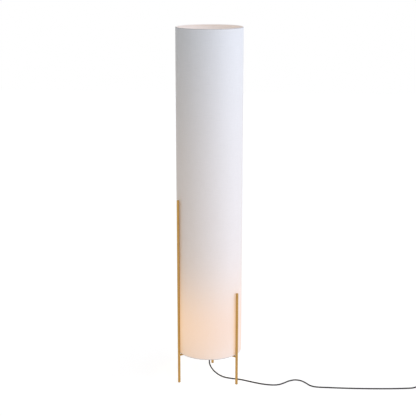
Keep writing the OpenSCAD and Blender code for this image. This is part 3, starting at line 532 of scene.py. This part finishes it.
def hem_profile(thick):
    """The rolled tape's outline as (radius, height above the rim): round the wire from the
    fabric's edge, then up the liner's inside."""
    steps = 14
    centre = SHADE_R - ROLL_R
    flap_in = LINER_IN_R - thick
    end_out = acos((flap_in - centre) / ROLL_R) - 2 * pi
    end_in = acos((LINER_IN_R - centre) / WIRE_R) - 2 * pi
    outline = []
    for i in range(steps + 1):
        a = end_out * i / steps
        outline.append((centre + ROLL_R * cos(a), ROLL_R + ROLL_R * sin(a)))
    top = FLAP_Z - RIM_Z
    outline += [(flap_in, top * FLAP_FLAT), (flap_in, top - FLAP_EDGE), (flap_in + thick / 2, top),
                (LINER_IN_R, top - FLAP_EDGE), (LINER_IN_R, top * FLAP_FLAT)]
    for i in range(steps, -1, -1):
        a = end_in * i / steps
        outline.append((centre + WIRE_R * cos(a), ROLL_R + WIRE_R * sin(a)))
    return outline


def hem_mesh(name, rim, up):
    """A rolled tape with small puckers where it turns round the wire, and a lap at the seam."""
    around = 360
    outline = hem_profile(ROLL_R - WIRE_R)
    columns = []
    for i in range(around):
        a = SEAM + 2 * pi * i / around
        from_seam = min(i, around - i) * 2 * pi / around * SHADE_R
        lap = 1 - ease((from_seam - LAP / 2) / LAP_RISE)
        pucker = MM * sum(high * sin(round_it * a + shift) for high, round_it, shift in PUCKERS)
        column = []
        for r, z in outline:
            out = ease((r - LINER_OUT_R) / HEM_TURN)
            column.append(polar(r + out * (pucker + HEM_LAP * lap - HEM_INSET), a,
                                rim + up * (z + PUCKER_LIFT * pucker)))
        columns.append(column)
    return ring_mesh(name, columns, joined=True)


def hem(name, node, rim, up, material):
    """A hem in the place of its CAD node. Up is 1 at the lower rim and -1 at the upper one."""
    made = piece(name, hem_mesh(name, rim, up), "shade", material, sharp=60)
    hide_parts(node)
    return made


def add_shade():
    faint = [c * HEM_GLOW for c in GLOW_SHADE]
    # The tape is drawn much greyer than the skin, which makes the thin grey line at each rim
    tape = shade_textile("hem_fabric", (0.60, 0.585, 0.585), 0.6 * MM, faint, TAPE_INSIDE)
    hems = [
        hem("shade_top_tape", "shade_top_hem", TOP_Z, -1, tape),
        hem("shade_bottom_tape", "shade_bottom_hem", RIM_Z, 1, tape),
    ]
    skin = shade_skin()


# ---- Cords ----
SWITCH_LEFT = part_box("switch_reliefs")[0].x
SWITCH_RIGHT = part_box("switch_reliefs")[1].x
SWITCH_Y = -0.045
ENTRY_Z = 0.009
PLUG_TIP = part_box("plug_body")[1].x
PLUG_Y = 0.02945
PLUG_Z = 0.0068
LAMP_ROUTE = [
    (0, 0, GLAND_LOW), (0, 0, 0.057), (0.001, 0, 0.0485), (0.005, -0.001, 0.0385),
    (0.012, -0.003, 0.0285), (0.022, -0.006, 0.019), (0.036, -0.010, 0.0104),
    (0.052, -0.015, 0.005), (0.070, -0.0205, 0.003), (0.093, -0.0255, 0.0026),
    (0.120, -0.031, 0.00255), (0.150, -0.043, 0.00255), (0.180, -0.056, 0.00255),
    (0.210, -0.066, 0.00255), (0.240, -0.070, 0.00255), (0.264, -0.065, 0.00255),
    (0.284, -0.048, 0.00255), (0.303, -0.027, 0.00255), (0.325, -0.015, 0.00255),
    (0.347, -0.020, 0.00255), (0.364, -0.037, 0.00255), (0.382, -0.061, 0.00255),
    (0.405, -0.072, 0.00255), (0.445, -0.073, 0.00255), (0.495, -0.073, 0.00255),
    (0.555, -0.071, 0.00255), (0.615, -0.067, 0.00255), (0.675, -0.061, 0.00255),
    (0.725, -0.054, 0.00275), (0.757, -0.049, 0.0038), (0.774, -0.0455, 0.0075),
    (0.786, SWITCH_Y, ENTRY_Z), (SWITCH_LEFT, SWITCH_Y, ENTRY_Z),
]
LEAD_ROUTE = [
    (SWITCH_RIGHT, SWITCH_Y, ENTRY_Z), (0.908, SWITCH_Y, ENTRY_Z), (0.918, SWITCH_Y, 0.0078),
    (0.930, SWITCH_Y, 0.005), (0.943, SWITCH_Y, 0.0036),
]
TAIL_ROUTE = [
    (0.950, PLUG_Y, 0.0074), (0.942, PLUG_Y, PLUG_Z), (PLUG_TIP, PLUG_Y, PLUG_Z),
]
COIL_PITCH = 5.1 * MM
COIL_ENTRY_R = 38.5 * MM
# Turns in each of the coil's two layers
COIL_TURNS = 3
# How far the climbing half turn swings in, clear of the turns beside it
CLIMB_SWING = 1.8 * MM
SPRING_WIRE = 0.8 * MM
SPRING_TURNS = 5
# The tie's thickness, the radius of its corners, and how far its edges are rounded
TIE_T = 1 * MM
TIE_ROUND = 4 * MM
TIE_EDGE = 0.25 * MM


def coil_route():
    """The coil's centreline: a lower layer that winds inward, a half turn that climbs, and an
    upper layer that winds outward. It starts below the centre, heading +X."""
    per_turn = 20
    low = COIL_LOW.z + CORD_D / 2
    inner = COIL_ENTRY_R - COIL_PITCH * COIL_TURNS
    points = []

    def add(turns, r, z):
        a = -pi / 2 + 2 * pi * turns
        points.append(Vector((COIL_CENTRE.x, COIL_CENTRE.y, 0)) + polar(r, a, z))

    count = COIL_TURNS * per_turn
    for i in range(count):
        turns = i / per_turn
        add(turns, COIL_ENTRY_R - COIL_PITCH * turns, low)
    climb = per_turn // 2
    for i in range(climb):
        t = i / climb
        r = inner - COIL_PITCH * t / 2 - CLIMB_SWING * sin(pi * t)
        add(COIL_TURNS + t / 2, r, low + COIL_PITCH * ease(t))
    for i in range(count + 1):
        turns = i / per_turn
        add(COIL_TURNS + 0.5 + turns, inner - COIL_PITCH / 2 + COIL_PITCH * turns, low + COIL_PITCH)
    return points


def smooth_route(points, spacing=3 * MM):
    """Points along a smooth curve through a route, a Catmull-Rom spline."""
    points = [Vector(p) for p in points]
    ends = [2 * points[0] - points[1], *points, 2 * points[-1] - points[-2]]
    line = []
    for p0, p1, p2, p3 in zip(ends, ends[1:], ends[2:], ends[3:]):
        count = max(1, round((p2 - p1).length / spacing))
        for i in range(count):
            t = i / count
            line.append(0.5 * (2 * p1 + (p2 - p0) * t + (2 * p0 - 5 * p1 + 4 * p2 - p3) * t * t
                               + (3 * p1 - p0 - 3 * p2 + p3) * t ** 3))
    return [*line, points[-1]]


def cord_curve(name, route, material):
    """A round cord along a route, and its length."""
    data = bpy.data.curves.new(name, "CURVE")
    data.dimensions = "3D"
    data.bevel_depth = CORD_D / 2
    data.bevel_resolution = 5
    data.use_fill_caps = True
    line = smooth_route(route)
    spline = data.splines.new("POLY")
    spline.points.add(len(line) - 1)
    for point, place in zip(spline.points, line):
        point.co = (*place, 1)
    spline.use_smooth = True
    data.materials.append(material)
    made = bpy.data.objects.new(name, data)
    bpy.context.collection.objects.link(made)
    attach(made, "stand")
    length = sum((b - a).length for a, b in zip(line, line[1:]))
    return made, length


def add_cords(jacket, steel):
    lead, length = cord_curve("cord_to_switch", LAMP_ROUTE, jacket)
    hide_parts("lamp_cord")
    add_spring(steel)
    spare, length = cord_curve("cord_to_plug", [*LEAD_ROUTE, *coil_route(), *TAIL_ROUTE], jacket)
    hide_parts("mains_cord_lead", "mains_cord_coil", "mains_cord_tail")
    add_tie()


def add_spring(steel):
    """The return spring under the switch's button, which shortens as the button goes down."""
    low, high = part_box("switch_spring")
    height = high.z - low.z
    wire_r = SPRING_WIRE / 2
    axis = Vector(((low.x + high.x) / 2, (low.y + high.y) / 2, 0))
    coil_r = (high.x - low.x) / 2 - wire_r
    per_turn = 24
    sides = 10
    angles = [2 * pi * k / sides for k in range(sides)]
    count = SPRING_TURNS * per_turn
    rings = []
    for i in range(count + 1):
        a = 2 * pi * SPRING_TURNS * i / count
        z = low.z + wire_r + (height - SPRING_WIRE) * i / count
        rings.append([axis + polar(coil_r + wire_r * cos(b), a, z + wire_r * sin(b)) for b in angles])
    mesh = ring_mesh("return_spring", rings, joined=False)
    made = piece("return_spring", mesh, "button", steel)
    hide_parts("switch_spring")
    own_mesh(made)
    return made


def tie_edge(corner, out, y, inward):
    """Points across one edge of the strap, from its inner face to its outer one."""
    return [corner + out * (TIE_ROUND - TIE_T) + Vector((0, y, 0)),
            corner + out * (TIE_ROUND - TIE_T / 2) + Vector((0, y, 0)),
            corner + out * TIE_ROUND + Vector((0, y + inward, 0))]


def add_tie():
    """A woven strap drawn tight round the coil's turns."""
    low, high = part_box("cord_tie")
    steps = 6
    half_x = (high.x - low.x) / 2 - TIE_ROUND
    half_z = (high.z - low.z - TIE_T) / 2 - TIE_ROUND
    centre = (low + high) / 2
    rings = []
    for turn, (sx, sz) in enumerate(((1, 1), (-1, 1), (-1, -1), (1, -1))):
        corner = Vector((centre.x + sx * half_x, 0, centre.z - TIE_T / 2 + sz * half_z))
        for i in range(steps + 1):
            a = turn * pi / 2 + i / steps * pi / 2
            out = Vector((cos(a), 0, sin(a)))
            rings.append(tie_edge(corner, out, low.y, TIE_EDGE)
                         + tie_edge(corner, out, high.y, -TIE_EDGE)[::-1])
    mesh = ring_mesh("tie_strap", rings, joined=True)
    made = piece("tie_strap", mesh, "stand", strap_weave("tie_weave"))
    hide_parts("cord_tie")
    return made


# ---- Finishes of the CAD pieces ----
BRASS = (0.53, 0.31, 0.095)
CONTACT_BRASS = (0.62, 0.46, 0.22)
STEEL = (0.58, 0.58, 0.57)
NICKEL = (0.62, 0.60, 0.56)


def metal_finishes(steel):
    """The finish of each metal piece, by the pieces' names."""
    contact = turned_metal("contact_brass", CONTACT_BRASS, 0.34)
    cap_metal = turned_metal("cap_nickel", NICKEL, 0.25)
    finishes = {
        "leg_tall leg_rear leg_short": brushed_metal("brass_leg", BRASS, (0, 0, 1)),
        "hub_disc": turned_metal("brass_hub", BRASS),
        "arm_studs hub_grub_screws tube_washers": steel,
        "holder_terminal_screws switch_terminal_screws switch_case_screws": steel,
        "entry_tube tube_nuts holder_thread_shell holder_centre_contact": contact,
        "switch_contact_bridge switch_fixed_contacts": contact,
        "bulb_screw_cap bulb_tip_contact": cap_metal,
        "plug_pins": brushed_metal("nickel_plate", NICKEL, (1, 0, 0), 0.22),
    }
    for name in ("arm_tall", "arm_rear", "arm_short"):
        low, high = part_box(name)
        outward = Vector((low.x + high.x, low.y + high.y, 0)).normalized()
        finishes[name] = brushed_metal("brass_" + name, BRASS, outward)
    return finishes


def plastic_finishes(jacket):
    """The finish of each moulded piece, by the pieces' names."""
    black = moulded("black_moulding", (0.022, 0.022, 0.023), 0.5, depth=0.05, variation=0.25)
    white = moulded("white_moulding", (0.86, 0.86, 0.84), 0.28, 2500, 0.01, 0.04)
    pale = moulded("pale_moulding", (0.78, 0.75, 0.69), 0.6, 1800, 0.03, 0.08)
    # The glides are dark brown, which gives the foot of each leg a thin dark band at the floor
    nylon = moulded("glide_nylon", (0.09, 0.06, 0.035), 0.45, 1200, 0.02, 0.08)
    rubber = moulded("pad_rubber", (0.05, 0.05, 0.05), 0.85, 1400, 0.06, 0.3)
    live = moulded("live_core", (0.17, 0.06, 0.025), 0.4, 1500, 0.01, 0.12)
    neutral = moulded("neutral_core", (0.03, 0.09, 0.32), 0.4, 1500, 0.01, 0.12)
    wire = moulded("white_wire", (0.8, 0.8, 0.79), 0.35, 1500, 0.02, 0.06)
    return {
        "leg_glides": nylon,
        "cord_gland switch_base switch_cover switch_button plug_body": black,
        "switch_cord_clamps bulb_cap_insulator": black,
        "cord_inner_end switch_cord_ends switch_reliefs": jacket,
        "live_wire switch_live_cores": live,
        "neutral_wire switch_neutral_core": neutral,
        "holder_cap holder_body bulb_housing": white,
        "holder_contact_block switch_contact_block": pale,
        "switch_feet": rubber,
        "shade_top_ring shade_bottom_ring": wire,
    }


def lit_finishes():
    """The finish of the globe, the light board and the lit liner, by the pieces' names."""
    return {
        "bulb_diffuser": opal_glass("opal_globe"),
        "bulb_light_board": light_board("light_board"),
        "shade_liner shade_seam_strip": liner_plastic("liner_plastic"),
    }


def finish_nodes(jacket, steel):
    """Gives each CAD piece that isn't replaced its finish."""
    finishes = {**metal_finishes(steel), **plastic_finishes(jacket), **lit_finishes()}
    for names, material in finishes.items():
        for name in names.split():
            mesh = nodes[name].data
            mesh.materials.clear()
            mesh.materials.append(material)
            mesh.shade_smooth()
            mesh.set_sharp_from_angle(angle=radians(SHARP_CAD))


# ---- Light, floor and background ----
# The plain light from all round. Its values and the key's were fitted to the photograph.
AMBIENT = (0.39, 0.388, 0.378)
KEY_STRENGTH = 2.21
KEY_COLOUR = (0.79, 0.84, 1.0)
# How wide the key is, how far it stands round from +X toward +Y, and how far above the floor,
# all in degrees
KEY_WIDTH = 90
KEY_ANGLE = -23
KEY_RISE = 25
# The weak light inside the globe, and its share of the globe's radius
LAMP_STRENGTH = 2.0
LAMP_COLOUR = (1.0, 0.72, 0.42)
LAMP_SHARE = 0.9
# The floor's colour where it throws light on the lamp, and where it is seen with its shadow
FLOOR_LIT = (0.8, 0.8, 0.8, 1)
FLOOR_SEEN = (0.35, 0.35, 0.35, 1)
# What brings the seen floor up to white
FLOOR_WHITE = 0.8
# Half the floor's side
FLOOR_HALF = 8.0
WHITE = (1, 1, 1, 1)


def add_world():
    """White to look at, also in metal and glass, and a plain neutral light on the object."""
    world = bpy.data.worlds.new("studio")
    bpy.context.scene.world = world
    world.use_nodes = True
    made = Nodes(world.node_tree)
    background = made.tree.nodes["Background"]
    made.feed(background.inputs["Color"], made.mix(made.seen(), (*AMBIENT, 1), WHITE))


def floor_material():
    """White to look at, with a faint shadow."""
    material = bpy.data.materials.new("floor")
    material.use_nodes = True
    made = Nodes(material.node_tree)
    made.tree.nodes.remove(made.tree.nodes["Principled BSDF"])
    seen = made.seen()
    diffuse = made.node("ShaderNodeBsdfDiffuse")
    made.feed(diffuse.inputs["Color"], made.mix(seen, FLOOR_LIT, FLOOR_SEEN))
    emission = made.node("ShaderNodeEmission")
    made.feed(emission.inputs["Strength"], made.math("MULTIPLY", seen, FLOOR_WHITE))
    add = made.node("ShaderNodeAddShader")
    made.feed(add.inputs[0], diffuse.outputs[0])
    made.feed(add.inputs[1], emission.outputs[0])
    made.feed(made.tree.nodes["Material Output"].inputs["Surface"], add.outputs[0])
    return material


def add_floor():
    """A pale floor under the lamp, without edges in view."""
    mesh = bpy.data.meshes.new("floor")
    corners = [(x * FLOOR_HALF, y * FLOOR_HALF, 0) for x, y in ((-1, -1), (1, -1), (1, 1), (-1, 1))]
    mesh.from_pydata(corners, [], [(0, 1, 2, 3)])
    mesh.materials.append(floor_material())
    floor = bpy.data.objects.new("floor", mesh)
    bpy.context.collection.objects.link(floor)


def add_light(name, kind, energy, colour, place, size):
    data = bpy.data.lights.new(name, kind)
    data.energy = energy
    data.color = colour
    if kind == "SUN":
        data.angle = size
    else:
        data.shadow_soft_size = size
    light = bpy.data.objects.new(name, data)
    bpy.context.collection.objects.link(light)
    light.location = place
    light.rotation_euler = place.to_track_quat("Z", "Y").to_euler()
    return light


def add_lights():
    """A wide soft key from the right, and a weak light inside the globe, which casts no shadow so
    that this light gets out."""
    turn = radians(KEY_ANGLE)
    rise = radians(KEY_RISE)
    toward = Vector((cos(turn) * cos(rise), sin(turn) * cos(rise), sin(rise)))
    add_light("key", "SUN", KEY_STRENGTH, KEY_COLOUR, toward, radians(KEY_WIDTH))
    add_light("lamp", "POINT", LAMP_STRENGTH, LAMP_COLOUR, Vector((0, 0, LAMP_Z)),
              LAMP_R * LAMP_SHARE)
    nodes["bulb_diffuser"].visible_shadow = False


# ---- The scene ----
add_camera()
black_jacket = cord_jacket("cord_jacket")
plated_steel = brushed_metal("plated_steel", STEEL, (0, 0, 1), 0.32)
add_cords(black_jacket, plated_steel)
add_shade()
finish_nodes(black_jacket, plated_steel)
add_world()
add_floor()
add_lights()
bpy.context.scene.view_settings.view_transform = "Standard"
